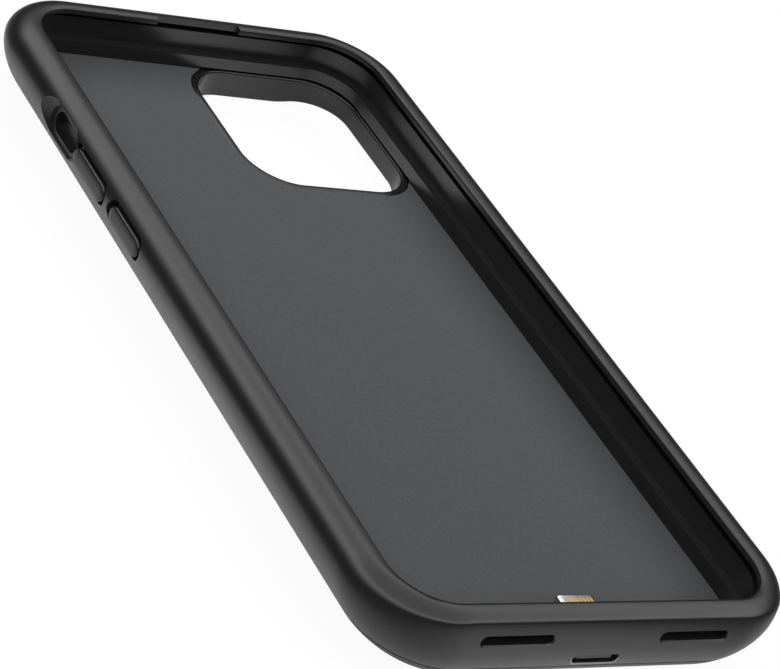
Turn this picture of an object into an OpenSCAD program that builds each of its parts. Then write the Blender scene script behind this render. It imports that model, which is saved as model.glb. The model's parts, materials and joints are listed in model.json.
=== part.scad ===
// Battery case for a flat-sided 6.1 inch phone, drawn lying on its back.
// +Z points out of the screen side, +Y to the phone's top edge, +X to the right of someone
// who looks at the screen.  The origin is the centre of the footprint, on the surface the
// back rests on.  Millimetres.

/* [Phone] */
// Width of the phone the case is made for
phone_w = 71.5; // [58:0.1:90]
// Length of the phone
phone_l = 146.7; // [122:0.1:178]
// Thickness of the phone
phone_t = 7.4; // [6.4:0.1:9]
// Corner radius of the phone, seen from the front
phone_corner = 11; // [8:0.1:13]

/* [Walls] */
// Soft wall beside the phone
side_wall = 3.05; // [2.8:0.05:4]
// Wall behind the phone's lower end, which holds the connectors
bottom_wall = 3.05; // [3:0.05:4.5]
// Wall behind the phone's upper end
top_wall = 1.75; // [1.4:0.05:3.5]
// Thickness of the hard back cover
cover_wall = 1.2; // [1:0.05:1.6]
// Height where the soft frame meets the back cover
part_line = 5; // [4.6:0.1:5.2]

/* [Edges] */
// Radius of the long side's lower edge
side_round = 16; // [13:0.5:18]
// Radius of each end's lower edge
end_round = 9.6; // [7:0.2:11]
// Radius of the shoulder along the sides and the top
shoulder = 4; // [2.6:0.1:4.4]
// Radius of the shoulder along the bottom
bottom_shoulder = 2.2; // [1.2:0.1:4]
// Corner radius of the case, seen from the front
case_corner = 14; // [12:0.2:17]

/* [Lip] */
// Height of the lip above the phone's glass
lip_rise = 1.15; // [0.8:0.05:1.8]
// How far the lip reaches over the glass at the sides
lip_side = 2.35; // [1.5:0.05:3]
// How far the lip reaches over the glass at the bottom
lip_bottom = 0.76; // [0.5:0.02:2]
// How far the lip reaches over the glass at the top
lip_top = 3.23; // [1.8:0.01:3.6]
// Width of the earpiece recess in the top lip
earpiece_w = 16.5; // [12:0.1:24]
// Depth of the earpiece recess
earpiece_d = 1.05; // [0.6:0.05:1.4]

/* [Inside] */
// Thickness of the battery cell
cell_t = 3.3; // [2.8:0.1:3.8]
// Thickness of the tray's floor
tray_t = 0.7; // [0.6:0.05:1]
// Thickness of the lining on the tray
lining_t = 0.4; // [0.3:0.05:0.6]
// Thickness of the foam tape under the cell
tape_t = 0.35; // [0.2:0.05:0.5]
// Length of the main board
board_l = 26; // [24:0.5:30]
// Width of the main board
board_w = 44; // [40:0.5:46]
// Thickness of the boards
board_t = 0.8; // [0.6:0.1:1]

/* [Buttons] */
// Length of the volume up button
volume_up_l = 12; // [10.5:0.1:12.4]
// Length of the volume down button
volume_down_l = 10.9; // [9.5:0.1:12]
// Length of the side button
side_button_l = 17; // [14:0.1:20]
// Height of the three edge buttons
button_h = 2.9; // [2.4:0.1:3.2]
// Diameter of the status button in the back
status_d = 7; // [5.5:0.1:8]
// Travel of the edge buttons
edge_travel = 0.35; // [0.2:0.05:0.4]
// Travel of the status button
status_travel = 0.4; // [0.2:0.05:0.45]

/* [Places from the phone's top edge] */
// Middle of the mute switch
mute_from_top = 33.2; // [31:0.1:35]
// Middle of the volume up button
volume_up_from_top = 45.65; // [44:0.05:46]
// Middle of the volume down button
volume_down_from_top = 60.05; // [60:0.05:64]
// Middle of the side button
side_button_from_top = 53; // [40:0.5:70]
// Middle of the camera window
camera_from_top = 19.6; // [19.5:0.1:22]
// Middle of the camera window, from the phone's right edge
camera_from_side = 19.25; // [19:0.05:22]

/* [Openings] */
// Width of the camera window
camera_w = 32; // [28:0.2:34]
// Length of the camera window
camera_l = 33; // [28:0.2:34]
// Corner radius of the camera window
camera_corner = 8.5; // [6:0.1:10]
// Length of each sound slot
sound_w = 12.6; // [10:0.1:14]
// Height of each sound slot
sound_h = 1.7; // [1.2:0.1:2]
// Middle of each sound slot, from the centre line
sound_x = 16.05; // [16:0.05:18]
// Width of the charging port's mouth
port_w = 8.3; // [7:0.1:8.6]
// Height of the charging port's mouth
port_h = 1.6; // [1.4:0.1:1.8]
// Distance of the charging port's middle behind the phone's middle
port_drop = 2.88; // [2.8:0.01:3.2]
// Depth of the sound slots' middle below the lip's top
sound_drop = 3.8; // [3.6:0.05:4.4]

/* [Fits] */
// Room around the phone
phone_gap = 0.1; // [0.05:0.05:0.2]
// Room between pieces that are fixed together
part_gap = 0.05; // [0.04:0.01:0.08]
// Room around a button's flange
key_gap = 0.3; // [0.2:0.05:0.35]
// Visible groove around an edge button
groove = 0.65; // [0.5:0.05:0.75]

/* [Hidden] */
$fn = 96;

// The phone's pocket and the case around it
pocket_w = phone_w + 2 * phone_gap;
pocket_l = phone_l + 2 * phone_gap;
pocket_r = phone_corner + phone_gap;
case_w = pocket_w + 2 * side_wall;
case_l = pocket_l + bottom_wall + top_wall;
pocket_cy = (bottom_wall - top_wall) / 2;
pocket_end = -case_l / 2 + bottom_wall;
pocket_top = case_l / 2 - top_wall;

// Heights of the stack, from the back up
cell_z = cover_wall + tape_t + 2 * part_gap;
cell_room = 0.3;
tray_z = cell_z + cell_t + cell_room;
tray_top = tray_z + tray_t;
pocket_z = tray_top + lining_t;
glass_z = pocket_z + phone_t + phone_gap;
case_h = glass_z + lip_rise;
phone_mid_z = pocket_z + phone_t / 2;
port_z = phone_mid_z - port_drop;
sound_z = case_h - sound_drop;

// Where the long side's lower arc is centred
side_cx = case_w / 2 - sqrt(pow(side_round, 2) - pow(side_round - (case_h - shoulder), 2));
end_cy = case_l / 2 - end_round;
// Half-width and half-length of the room inside the cover at height z
function room_x(z) = side_cx + sqrt(pow(side_round - cover_wall, 2) - pow(side_round - z, 2));
function room_y(z) = end_cy + sqrt(pow(end_round - cover_wall, 2) - pow(end_round - z, 2));

// The frame's flange, clamped between the tray's stepped rim and the cover
flange_in = 3.35;
rim_in = 1.35;
flange_top = tray_z + tray_t / 2;

// The connector pocket behind the phone's lower end
chin_w = 18.2;
chin_depth = 1.6;
chin_top = case_h - 2.5;
end_wall_t = 0.6;
flex_t = 0.15;
flex_w = 10;
flex_room = 0.3;
flex_lap = 4;
wall_board_t = 0.6;
end_wall_y = pocket_end - part_gap - end_wall_t;
flex_y = end_wall_y - part_gap - flex_t;
wall_board_y = flex_y - part_gap - wall_board_t;
wall_board_w = chin_w - 1.2;
wall_board_z = tray_top - 0.35;

// The plug that enters the phone
plug_w = 6.7;
plug_h = 1.5;
plug_reach = 6.7;
collar_w = 9.8;
collar_h = 3.4;
contact_n = 8;
contact_pitch = 0.68;
contact_size = [0.42, 2.6];
contact_t = 0.1;
contact_gap = 0.02;
contact_end = 1;
collar_lip = 0.3;

// The charging port
port_wall = 0.3;
port_back = pocket_end - 0.15;
port_front = -case_l / 2 + 0.35;
mouth_t = 0.3;
tongue_w = port_w - 2;
tongue_t = 0.6;
tongue_in = 0.35;

// Edge buttons: pad, flange, and the elastic strip between them and the phone
key_z = case_h - 4.25;
strip_t = 0.3;
strip_h = 5.6;
flange_t = 0.55;
flange_grow = 1.4;
pad_face = 0.15;
strip_x = pocket_w / 2 + part_gap;
flange_x = strip_x + strip_t + part_gap + edge_travel;
pad_x = case_w / 2 - pad_face;
keyhole_x = flange_x + flange_t + 2 * part_gap;

// Mute switch scoop
scoop_l = 14.6;
scoop_h = 9.4;
scoop_over = 0.6;
scoop_flare = 0.5;
slot_l = 10;
slot_h = 4.6;
slot_wall = 0.9;

// Parts on and around the main board
board_y = -room_y(part_line - 1) + 1.4;
board_z = part_line - 0.2 - board_t;
board_under = board_z;
board_corner = 2.5;
board_hole_in = 3;
board_hole_d = 1.6;
status_y = board_y + 21;
status_flange = 1.8;
status_flange_t = 0.5;
status_nub = [3, 0.3];
switch_w = 4.6;
switch_stem = [2, 0.6];
join = 0.1;
status_sink = 0.2;
led_y = board_y + 14.5;
led_n = 4;
led_pitch = 6;
pipe_d = 2;
pipe_bar = [22, 3, 0.8];
pipe_rise = 0.4;
led_size = [1.6, 0.9, 0.6];

// Camera surround
surround_t = 1.5;
camera_x = phone_w / 2 - camera_from_side;
camera_y = pocket_cy + phone_l / 2 - camera_from_top;
surround_z = 0.4;

// Screws that pull the tray onto the cover
screw_d = 1.6;
screw_head_d = 3;
screw_head_t = 0.5;
screw_len = 2.6;
screw_room = 0.3;
screw_play = 0.2;
screw_cross = [1.7, 0.35, 0.5];
boss_d = 4;
screw_x = pocket_w / 2 - flange_in - 3;

// Battery cell, between the board and the camera window
cell_side = 0.9;
cell_w = 2 * min(room_x(cell_z) - cell_side, screw_x - boss_d / 2 - cell_side / 2);
cell_y1 = camera_y - camera_l / 2 - surround_t - 1.6;
cell_y0 = board_y + board_l + 5;
cell_corner = 3;
tape_w = 10;
tape_end = 6;
guard_l = 3.2;
guard_w = 20;
guard_t = 0.6;
guard_z = board_under - 1;
guard_y = cell_y0 - guard_l - 0.4;
tab_x = 6;
tab_w = 4;
tab_t = 0.18;
tab_gap = 0.02;
tab_lap = guard_l - 0.6;
lead_x = 3;
lead_d = 0.9;
lead_reach = 3;
joint_grow = 0.4;

// Places along the case
screw_ys = [board_y + 9.5, (board_y + cell_y1) / 2, cell_y1 - 1];
screw_spots = [for (y = screw_ys, s = [-1, 1]) [s * screw_x, y]];

mute_y = pocket_cy + phone_l / 2 - mute_from_top;
volume_up_y = pocket_cy + phone_l / 2 - volume_up_from_top;
volume_down_y = pocket_cy + phone_l / 2 - volume_down_from_top;
side_button_y = pocket_cy + phone_l / 2 - side_button_from_top;

// ---- plain shapes ----

// Rectangle w by l with round corners, centred
module round_rect(w, l, r) {
    square([w - 2 * r, l], center = true);
    square([w, l - 2 * r], center = true);
    for (x = [-1, 1], y = [-1, 1])
        translate([x * (w / 2 - r), y * (l / 2 - r)]) circle(r);
}

// The same with a height, standing at z
module slab(w, l, r, z, h) {
    translate([0, 0, z]) linear_extrude(h) round_rect(w, l, r);
}

// Plain block from corner a to corner b
module block(a, b) {
    translate(a) cube(b - a);
}

// A stadium w wide and h high that runs along Y from y0 to y1, centred on x and z
module stadium_y(w, h, x, z, y0, y1) {
    translate([x, y1, z]) rotate([90, 0, 0]) linear_extrude(y1 - y0) round_rect(w, h, h / 2 - 0.001);
}

// A stadium l long and h high that runs along X from x0 to x1, centred on y and z
module stadium_x(l, h, y, z, x0, x1) {
    translate([x0, y, z]) rotate([90, 0, 90]) linear_extrude(x1 - x0) round_rect(l, h, h / 2 - 0.001);
}

// ---- the outer form ----

// Half of a section: a flat back to `flat`, an arc of radius `low` and a shoulder of radius `top`
module half_section(half, flat, low, top, inset) {
    h = case_h;
    intersection() {
        translate([0, inset]) square([half, h - inset]);
        union() {
            square([flat, h]);
            intersection() {
                translate([flat, low]) circle(low - inset);
                square([half, min(low, h - top)]);
            }
            if (low < h - top) translate([0, low]) square([half - inset, h - top - low]);
            translate([0, h - top - 0.001]) square([half - top, top + 0.001]);
            intersection() {
                translate([half - top, h - top]) circle(top - inset);
                translate([0, h - top]) square([half, top]);
            }
        }
    }
}

// The long form: the sides' section carried along Y
module sides_form(inset) {
    translate([0, case_l / 2 + 1, 0]) rotate([90, 0, 0]) linear_extrude(case_l + 2) {
        half_section(case_w / 2, side_cx, side_round, shoulder, inset);
        mirror([1, 0]) half_section(case_w / 2, side_cx, side_round, shoulder, inset);
    }
}

// The ends' section carried along X, with its own shoulder at the bottom end
module ends_form(inset) {
    translate([-case_w / 2 - 1, 0, 0]) rotate([90, 0, 90]) linear_extrude(case_w + 2) {
        half_section(case_l / 2, end_cy, end_round, shoulder, inset);
        mirror([1, 0]) half_section(case_l / 2, end_cy, end_round, bottom_shoulder, inset);
    }
}

// One round corner of the plan: the ends' section turned about the corner's axis
module corner_post(inset, top) {
    low = min(end_round, case_corner - 0.5);
    rotate_extrude() half_section(case_corner, case_corner - low, low, top, inset);
}

// Case body with its full outline, made smaller all round by inset
module body_form(inset = 0) {
    x = case_w / 2 - case_corner;
    y = case_l / 2 - case_corner;
    intersection() {
        sides_form(inset);
        ends_form(inset);
        union() {
            block([-x, -case_l / 2 + inset, inset], [x, case_l / 2 - inset, case_h]);
            block([-case_w / 2 + inset, -y, inset], [case_w / 2 - inset, y, case_h]);
            for (sx = [-1, 1]) {
                translate([sx * x, y, 0]) corner_post(inset, shoulder);
                translate([sx * x, -y, 0]) corner_post(inset, bottom_shoulder);
            }
        }
    }
}

// The phone's outline, made smaller all round by inset
module pocket_slab(inset, z, h) {
    translate([0, pocket_cy, 0])
        slab(pocket_w - 2 * inset, pocket_l - 2 * inset, pocket_r - inset, z, h);
}

// Rounded block through the camera window
module camera_slab(grow, z, h) {
    translate([camera_x, camera_y, 0])
        slab(camera_w + 2 * grow, camera_l + 2 * grow, camera_corner + grow, z, h);
}

// ---- soft frame ----

// The lip's opening with its earpiece recess
module lip_opening() {
    w = pocket_w - 2 * lip_side;
    y0 = pocket_end + lip_bottom;
    y1 = pocket_top - lip_top;
    translate([0, (y0 + y1) / 2, 0]) slab(w, y1 - y0, pocket_r - lip_side, glass_z - 0.5, lip_rise + 1);
    translate([0, y1, 0]) slab(earpiece_w, 2 * earpiece_d, earpiece_d * 0.6, glass_z - 0.5, lip_rise + 1);
}

// Funnel down to the mute switch: a cone at each end and a wedge between them
module mute_scoop() {
    slot_x = pocket_w / 2 + slot_wall;
    deep = case_w / 2 - slot_x;
    run = (scoop_l - scoop_h) / 2;
    translate([0, mute_y, phone_mid_z]) {
        for (s = [-1, 1]) translate([-slot_x, s * run, 0]) rotate([0, -90, 0])
            cylinder(h = deep + scoop_over, r1 = slot_h / 2, r2 = scoop_h / 2 + scoop_flare);
        translate([0, run, 0]) rotate([90, 0, 0]) linear_extrude(2 * run)
            polygon([
                [-slot_x, -slot_h / 2], [-slot_x, slot_h / 2],
                [-slot_x - deep - scoop_over, scoop_h / 2 + scoop_flare],
                [-slot_x - deep - scoop_over, -scoop_h / 2 - scoop_flare]
            ]);
    }
    stadium_x(slot_l, slot_h, mute_y, phone_mid_z, -slot_x - 0.2, -pocket_w / 2 + 0.5);
}

// Groove, flange room and strip room for one edge button on the +X side
module button_cut(l, y) {
    stadium_x(l + 2 * groove, button_h + 2 * groove, y, key_z, flange_x, case_w / 2 + 1);
    stadium_x(l + flange_grow + 2 * key_gap, button_h + flange_grow + 2 * key_gap, y, key_z,
        pocket_w / 2 - 0.5, keyhole_x);
}

// Recess for an elastic strip, from y0 to y1
module strip_cut(y0, y1) {
    block([pocket_w / 2 - 0.5, y0, key_z - strip_h / 2 - part_gap],
        [strip_x + strip_t + part_gap, y1, key_z + strip_h / 2 + part_gap]);
}

// Ends of the strips along Y
volume_strip_y0 = volume_down_y - volume_down_l / 2 - 2;
volume_strip_y1 = volume_up_y + volume_up_l / 2 + 1;
side_strip_y0 = side_button_y - side_button_l / 2 - 2;
side_strip_y1 = side_button_y + side_button_l / 2 + 2;

module side_frame() {
    color("#3b3b3d") difference() {
        intersection() {
            body_form();
            translate([0, 0, part_line + part_gap + 50]) cube([2 * case_w, 2 * case_l, 100], center = true);
        }
        pocket_slab(0, tray_top, glass_z - tray_top);
        pocket_slab(rim_in, flange_top, pocket_z - flange_top);
        pocket_slab(flange_in, 0, pocket_z);
        camera_slab(surround_t + part_gap, 0, pocket_z);
        lip_opening();
        mute_scoop();
        mirror([1, 0, 0]) button_cut(volume_up_l, volume_up_y);
        mirror([1, 0, 0]) button_cut(volume_down_l, volume_down_y);
        mirror([1, 0, 0]) strip_cut(volume_strip_y0 - part_gap, volume_strip_y1 + part_gap);
        button_cut(side_button_l, side_button_y);
        strip_cut(side_strip_y0 - part_gap, side_strip_y1 + part_gap);
        for (s = [-1, 1])
            stadium_y(sound_w, sound_h, s * sound_x, sound_z, -case_l / 2 - 1, pocket_end + 1);
        block([-chin_w / 2, pocket_end - chin_depth, 0], [chin_w / 2, pocket_end + flange_in + 1, chin_top]);
        stadium_y(port_w + 2 * port_wall + 2 * part_gap, port_h + 2 * port_wall + 2 * part_gap, 0, port_z,
            -case_l / 2 + mouth_t, pocket_end);
        stadium_y(port_w, port_h, 0, port_z, -case_l / 2 - 1, pocket_end);
    }
}

// ---- hard back cover ----

module back_cover() {
    color("#2f2f31") difference() {
        union() {
            difference() {
                body_form();
                intersection() {
                    body_form(cover_wall);
                    block([-case_w, -case_l, cover_wall], [case_w, case_l, part_line + 20]);
                }
                translate([0, 0, part_line + 50]) cube([2 * case_w, 2 * case_l, 100], center = true);
            }
            intersection() {
                body_form();
                for (p = screw_spots) translate([p[0], p[1], 0])
                    cylinder(d = boss_d, h = tray_z - part_gap);
            }
        }
        for (p = screw_spots) translate([p[0], p[1], tray_top - screw_len - screw_room])
            cylinder(d = screw_d + 2 * part_gap, h = case_h);
        camera_slab(surround_t + part_gap, -1, case_h);
        translate([0, status_y, -1]) cylinder(d = status_d + 2 * key_gap, h = cover_wall + 2);
        for (i = [0 : led_n - 1])
            translate([(i - (led_n - 1) / 2) * led_pitch, led_y, -1])
                cylinder(d = pipe_d + 2 * part_gap, h = cover_wall + 2);
        block([-flex_w / 2 - flex_room, flex_y - flex_room / 3, part_line - 0.4],
            [flex_w / 2 + flex_room, 0, part_line + 1]);
    }
}

// ---- tray and lining ----

module inner_tray() {
    color("#39393b") difference() {
        union() {
            pocket_slab(flange_in + part_gap, tray_z, tray_t);
            pocket_slab(rim_in + part_gap, flange_top + part_gap, tray_top - flange_top - part_gap);
            // tongue and end wall that carry the connectors
            block([-chin_w / 2 + 0.1, end_wall_y, tray_z], [chin_w / 2 - 0.1, pocket_end + flange_in + 1, tray_top]);
            block([-chin_w / 2 + 0.1, end_wall_y, tray_z], [chin_w / 2 - 0.1, end_wall_y + end_wall_t, chin_top - 0.1]);
        }
        camera_slab(surround_t + part_gap, 0, case_h);
        for (p = screw_spots) translate([p[0], p[1], 0]) {
            cylinder(d = screw_d + screw_play, h = case_h);
            translate([0, 0, tray_top - screw_head_t - part_gap]) cylinder(d = screw_head_d + screw_play, h = case_h);
        }
        stadium_y(collar_w, collar_h, 0, phone_mid_z, end_wall_y - 1, pocket_end + 1);
        stadium_y(port_w + 2 * port_wall + 0.1, port_h + 2 * port_wall + 0.1, 0, port_z,
            end_wall_y - 1, pocket_end + 1);
    }
}

module soft_lining() {
    color("#4a4a4c") difference() {
        pocket_slab(part_gap, tray_top + part_gap, lining_t - part_gap);
        camera_slab(surround_t + part_gap, 0, case_h);
    }
}

// Ring around the camera window, trimmed just inside the case's rounded corner
module camera_surround() {
    color("#262628") difference() {
        intersection() {
            camera_slab(surround_t, surround_z, pocket_z - 0.1 - surround_z);
            body_form(part_gap);
        }
        camera_slab(0, -1, case_h);
    }
}

// ---- power parts ----

module battery_cell() {
    color("#b9bcc2") translate([0, (cell_y0 + cell_y1) / 2, 0])
        slab(cell_w, cell_y1 - cell_y0, cell_corner, cell_z, cell_t);
}

module battery_tape() {
    color("#d8d8d0") for (s = [-1, 1])
        block([s * cell_w / 4 - tape_w / 2, cell_y0 + tape_end, cover_wall + part_gap],
            [s * cell_w / 4 + tape_w / 2, cell_y1 - tape_end, cover_wall + part_gap + tape_t]);
}

module cell_guard_board() {
    color("#1f6b3f") block([-guard_w / 2, guard_y, guard_z], [guard_w / 2, guard_y + guard_l, guard_z + guard_t]);
}

// Two flat tabs from the cell's end to the guard board's top
module cell_tabs() {
    color("#c9c9c4") for (s = [-1, 1])
        block([s * tab_x - tab_w / 2, guard_y + guard_l - tab_lap, guard_z + guard_t + tab_gap],
            [s * tab_x + tab_w / 2, cell_y0 - tab_gap, guard_z + guard_t + tab_gap + tab_t]);
}

// Two insulated wires from the guard board to solder joints under the main board
module battery_leads() {
    wire_z = board_under - 3 * part_gap - lead_d / 2;
    joint_y = board_y + board_l - lead_reach;
    for (s = [-1, 1]) color(s > 0 ? "#b3271e" : "#1b1b1b") union() {
        translate([s * lead_x, guard_y - part_gap, wire_z]) rotate([90, 0, 0])
            cylinder(d = lead_d, h = guard_y - joint_y);
        translate([s * lead_x, joint_y, wire_z - lead_d / 2 - part_gap])
            cylinder(d = lead_d + joint_grow, h = lead_d + 3.6 * part_gap);
    }
}

module main_board() {
    color("#14532d") difference() {
        translate([0, board_y + board_l / 2, 0]) slab(board_w, board_l, board_corner, board_z, board_t);
        for (s = [-1, 1]) translate([s * (board_w / 2 - board_hole_in), board_y + board_l - board_hole_in, 0])
            cylinder(d = board_hole_d, h = case_h);
    }
}

// A chip hanging under the main board, centred on x and y
module chip(x, y, w, l, h) {
    block([x - w / 2, y - l / 2, board_under - part_gap - h], [x + w / 2, y + l / 2, board_under - part_gap]);
}

shield_x = -13;
shield_y = board_y + 7;
shield_size = [13, 11, 1.7];
shield_sheet = 0.2;
charge_chip = [5, 5, 0.9];
boost_chip = [4, 4, 0.9];
chip_shift = 2.9;
capacitor = [1.6, 0.9, 0.9];
capacitor_xs = [-5, 5];
capacitor_ys = [3, 6.5];
inductor = [6.6, 6.6, 2];
inductor_at = [13, 8];
inductor_round = 8.4;

module charge_controller() {
    color("#17181a") chip(shield_x - chip_shift, shield_y, charge_chip[0], charge_chip[1], charge_chip[2]);
}

module boost_controller() {
    color("#17181a") chip(shield_x + chip_shift, shield_y, boost_chip[0], boost_chip[1], boost_chip[2]);
}

module board_capacitors() {
    color("#b08d5a") for (x = capacitor_xs, y = capacitor_ys)
        chip(x, board_y + y, capacitor[0], capacitor[1], capacitor[2]);
}

module power_inductor() {
    color("#4b4b4f") intersection() {
        chip(inductor_at[0], board_y + inductor_at[1], inductor[0], inductor[1], inductor[2]);
        translate([inductor_at[0], board_y + inductor_at[1], 0]) cylinder(d = inductor_round, h = case_h);
    }
}

module shield_can() {
    s = shield_size;
    z = board_under - part_gap - s[2];
    color("#c7c9cc") difference() {
        block([shield_x - s[0] / 2, shield_y - s[1] / 2, z], [shield_x + s[0] / 2, shield_y + s[1] / 2, z + s[2]]);
        block([shield_x - s[0] / 2 + shield_sheet, shield_y - s[1] / 2 + shield_sheet, z + shield_sheet],
            [shield_x + s[0] / 2 - shield_sheet, shield_y + s[1] / 2 - shield_sheet, z + s[2] + 1]);
    }
}

// ---- connectors ----

module connector_board() {
    color("#14532d") difference() {
        block([-wall_board_w / 2, wall_board_y, wall_board_z], [wall_board_w / 2, wall_board_y + wall_board_t, chin_top - 0.2]);
        stadium_y(plug_w + 2 * part_gap, plug_h + 2 * part_gap, 0, phone_mid_z, wall_board_y - 1, pocket_end);
        stadium_y(port_w + 2 * port_wall + 2 * part_gap, port_h + 2 * port_wall + 2 * part_gap, 0, port_z,
            wall_board_y - 1, pocket_end);
    }
}

// Ribbon that lies on the main board and turns up behind the tray's end wall
module flex_ribbon() {
    z = board_z + board_t + part_gap;
    color("#b8742a") union() {
        block([-flex_w / 2, flex_y, z], [flex_w / 2, board_y + flex_lap, z + flex_t]);
        block([-flex_w / 2, flex_y, z],
            [flex_w / 2, flex_y + flex_t, port_z - port_h / 2 - port_wall - 2 * part_gap]);
    }
}

// Contact blocks in both flat faces of the plug, larger all round by grow
module contact_blocks(grow) {
    y = pocket_end + plug_reach - contact_end - contact_size[1] / 2;
    for (i = [0 : contact_n - 1], s = [-1, 1])
        translate([(i - (contact_n - 1) / 2) * contact_pitch, y, phone_mid_z + s * (plug_h - contact_t) / 2])
            cube([contact_size[0] + 2 * grow, contact_size[1] + 2 * grow, contact_t + 2 * grow], center = true);
}

module phone_plug() {
    color("#c9cacc") difference() {
        stadium_y(plug_w, plug_h, 0, phone_mid_z, wall_board_y, pocket_end + plug_reach);
        contact_blocks(contact_gap);
    }
}

module plug_contacts() {
    color("#d6b25a") contact_blocks(0);
}

module plug_collar() {
    color("#1e1e20") difference() {
        stadium_y(collar_w - 2 * part_gap, collar_h - 2 * part_gap, 0, phone_mid_z,
            end_wall_y, pocket_end + collar_lip);
        stadium_y(plug_w + 2 * part_gap, plug_h + 2 * part_gap, 0, phone_mid_z, end_wall_y - 1, pocket_end + 1);
    }
}

module charge_port_shell() {
    color("#9c9ea2") difference() {
        stadium_y(port_w + 2 * port_wall, port_h + 2 * port_wall, 0, port_z, port_front, port_back);
        stadium_y(port_w, port_h, 0, port_z, port_front - 1, port_back + 1);
    }
}

// Insert with its base at the back of the port
module charge_port_tongue() {
    color("#8a8c90") union() {
        stadium_y(port_w - 2 * part_gap, port_h - 2 * part_gap, 0, port_z, port_back - tongue_t, port_back);
        block([-tongue_w / 2, port_front + tongue_in, port_z - tongue_t / 2],
            [tongue_w / 2, port_back - tongue_t / 2, port_z + tongue_t / 2]);
    }
}

// ---- buttons ----

// An edge button on the +X side: pad, flange and the nub that presses the strip
module edge_button(l, y) {
    stadium_x(l, button_h, y, key_z, flange_x, pad_x);
    stadium_x(l + flange_grow, button_h + flange_grow, y, key_z, flange_x, flange_x + flange_t);
}

module edge_strip(y0, y1) {
    block([strip_x, y0, key_z - strip_h / 2], [strip_x + strip_t, y1, key_z + strip_h / 2]);
}

module volume_up_button() {
    color("#444446") mirror([1, 0, 0]) edge_button(volume_up_l, volume_up_y);
}

module volume_down_button() {
    color("#444446") mirror([1, 0, 0]) edge_button(volume_down_l, volume_down_y);
}

module volume_strip() {
    color("#2a2a2b") mirror([1, 0, 0]) edge_strip(volume_strip_y0, volume_strip_y1);
}

module side_button() {
    color("#444446") edge_button(side_button_l, side_button_y);
}

module side_button_strip() {
    color("#2a2a2b") edge_strip(side_strip_y0, side_strip_y1);
}

module status_button() {
    flange_z = cover_wall + 2 * part_gap;
    color("#4c4c4e") translate([0, status_y, 0]) union() {
        translate([0, 0, status_sink]) cylinder(d = status_d, h = flange_z - status_sink + join);
        translate([0, 0, flange_z]) cylinder(d = status_d + status_flange, h = status_flange_t);
        translate([0, 0, flange_z + status_flange_t - join]) cylinder(d = status_nub[0], h = status_nub[1]);
    }
}

module status_switch() {
    nub_top = cover_wall + 2 * part_gap + status_flange_t - join + status_nub[1];
    stem = nub_top + status_travel + 2 * part_gap;
    base = stem + switch_stem[1] - 2 * join;
    color("#d0d0d2") translate([0, status_y, 0]) union() {
        block([-switch_w / 2, -switch_w / 2, base], [switch_w / 2, switch_w / 2, board_under - part_gap]);
        translate([0, 0, stem]) cylinder(d = switch_stem[0], h = switch_stem[1]);
    }
}

module status_leds() {
    color("#f2efe2") for (i = [0 : led_n - 1])
        chip((i - (led_n - 1) / 2) * led_pitch, led_y, led_size[0], led_size[1], led_size[2]);
}

// Four clear posts on one bar
module light_pipe() {
    bar_z = cover_wall + pipe_rise;
    color("#dfe6ea") union() {
        translate([0, led_y, bar_z]) linear_extrude(pipe_bar[2])
            round_rect(pipe_bar[0], pipe_bar[1], pipe_bar[1] / 2 - 0.01);
        for (i = [0 : led_n - 1])
            translate([(i - (led_n - 1) / 2) * led_pitch, led_y, status_sink])
                cylinder(d = pipe_d, h = bar_z + pipe_bar[2] + pipe_rise - status_sink);
    }
}

module tray_screws() {
    color("#8f9194") for (p = screw_spots) translate([p[0], p[1], 0]) union() {
        translate([0, 0, tray_top - screw_len]) cylinder(d = screw_d, h = screw_len - join);
        difference() {
            translate([0, 0, tray_top - screw_head_t]) cylinder(d = screw_head_d, h = screw_head_t);
            for (a = [0, 90]) translate([0, 0, tray_top]) rotate([0, 0, a])
                cube(screw_cross, center = true);
        }
    }
}

side_frame();
back_cover();
inner_tray();
soft_lining();
camera_surround();
battery_cell();
battery_tape();
cell_guard_board();
cell_tabs();
battery_leads();
main_board();
charge_controller();
boost_controller();
board_capacitors();
power_inductor();
shield_can();
connector_board();
flex_ribbon();
phone_plug();
plug_contacts();
plug_collar();
charge_port_shell();
charge_port_tongue();
volume_up_button();
volume_down_button();
volume_strip();
side_button();
side_button_strip();
status_button();
status_switch();
status_leds();
light_pipe();
tray_screws();
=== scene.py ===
"""Battery phone case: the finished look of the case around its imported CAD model.

Every piece is made in the model's own frame: +Z out of the screen side, +Y to the phone's top
edge, +X to the right. Lengths in the shape functions are millimetres.
"""

import json
import math
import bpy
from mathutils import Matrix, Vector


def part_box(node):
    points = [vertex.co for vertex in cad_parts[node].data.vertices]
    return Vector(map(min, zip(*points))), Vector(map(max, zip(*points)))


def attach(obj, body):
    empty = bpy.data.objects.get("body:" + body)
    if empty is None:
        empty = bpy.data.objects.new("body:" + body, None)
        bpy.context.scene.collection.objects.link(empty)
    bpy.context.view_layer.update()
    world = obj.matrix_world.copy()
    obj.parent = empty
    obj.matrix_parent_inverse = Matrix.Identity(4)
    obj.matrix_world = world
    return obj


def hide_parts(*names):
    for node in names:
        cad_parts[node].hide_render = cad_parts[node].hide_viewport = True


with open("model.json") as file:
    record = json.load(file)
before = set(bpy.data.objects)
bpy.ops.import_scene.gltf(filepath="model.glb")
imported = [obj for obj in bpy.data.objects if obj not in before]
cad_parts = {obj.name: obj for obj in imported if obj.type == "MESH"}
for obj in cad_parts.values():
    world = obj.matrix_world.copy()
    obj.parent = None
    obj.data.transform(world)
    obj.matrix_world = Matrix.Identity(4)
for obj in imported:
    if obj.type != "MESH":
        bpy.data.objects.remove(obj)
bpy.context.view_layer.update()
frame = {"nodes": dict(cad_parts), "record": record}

from types import SimpleNamespace

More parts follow.
